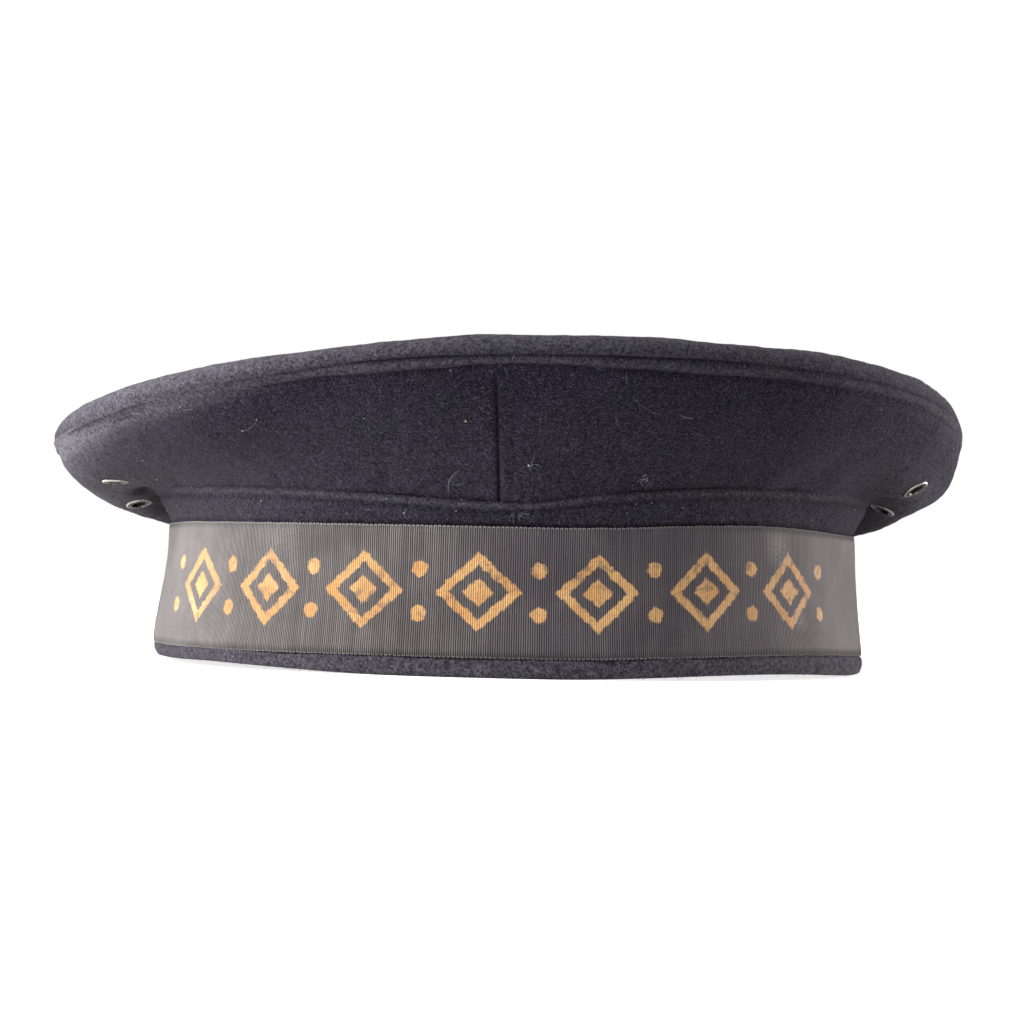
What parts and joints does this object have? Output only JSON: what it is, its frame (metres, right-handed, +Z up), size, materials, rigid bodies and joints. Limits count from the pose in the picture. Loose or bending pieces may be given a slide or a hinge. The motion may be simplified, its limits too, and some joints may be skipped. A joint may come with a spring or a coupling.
{
  "type": "sailor cap",
  "caption": "Soft navy wool sailor cap without a peak: a stiff band with a ribbed tally ribbon, a wide overhanging crown with a round flat top, and small vent eyelets.",
  "frame": {"origin": "centre of the cap on the plane that the band's rim stands on", "axes": "+Z up out of the top, -Y to the front of the cap where the crown stands highest, +X to the right in the picture"},
  "size_m": [0.2404, 0.245, 0.082],
  "materials": {
    "wool": "fulled navy wool melton with a short raised nap",
    "ribbon": "faded black ribbed grosgrain",
    "vent_metal": "blackened, worn bright on the rims"
  },
  "bodies": {
    "root": {"band": "wool", "tally_ribbon": "ribbon", "side_panel_left": "wool", "side_panel_right": "wool", "top_panel": "wool", "vent_eyelet_left_lower": "vent_metal", "vent_eyelet_left_upper": "vent_metal", "vent_eyelet_right_lower": "vent_metal", "vent_eyelet_right_upper": "vent_metal"}
  },
  "joints": []
}
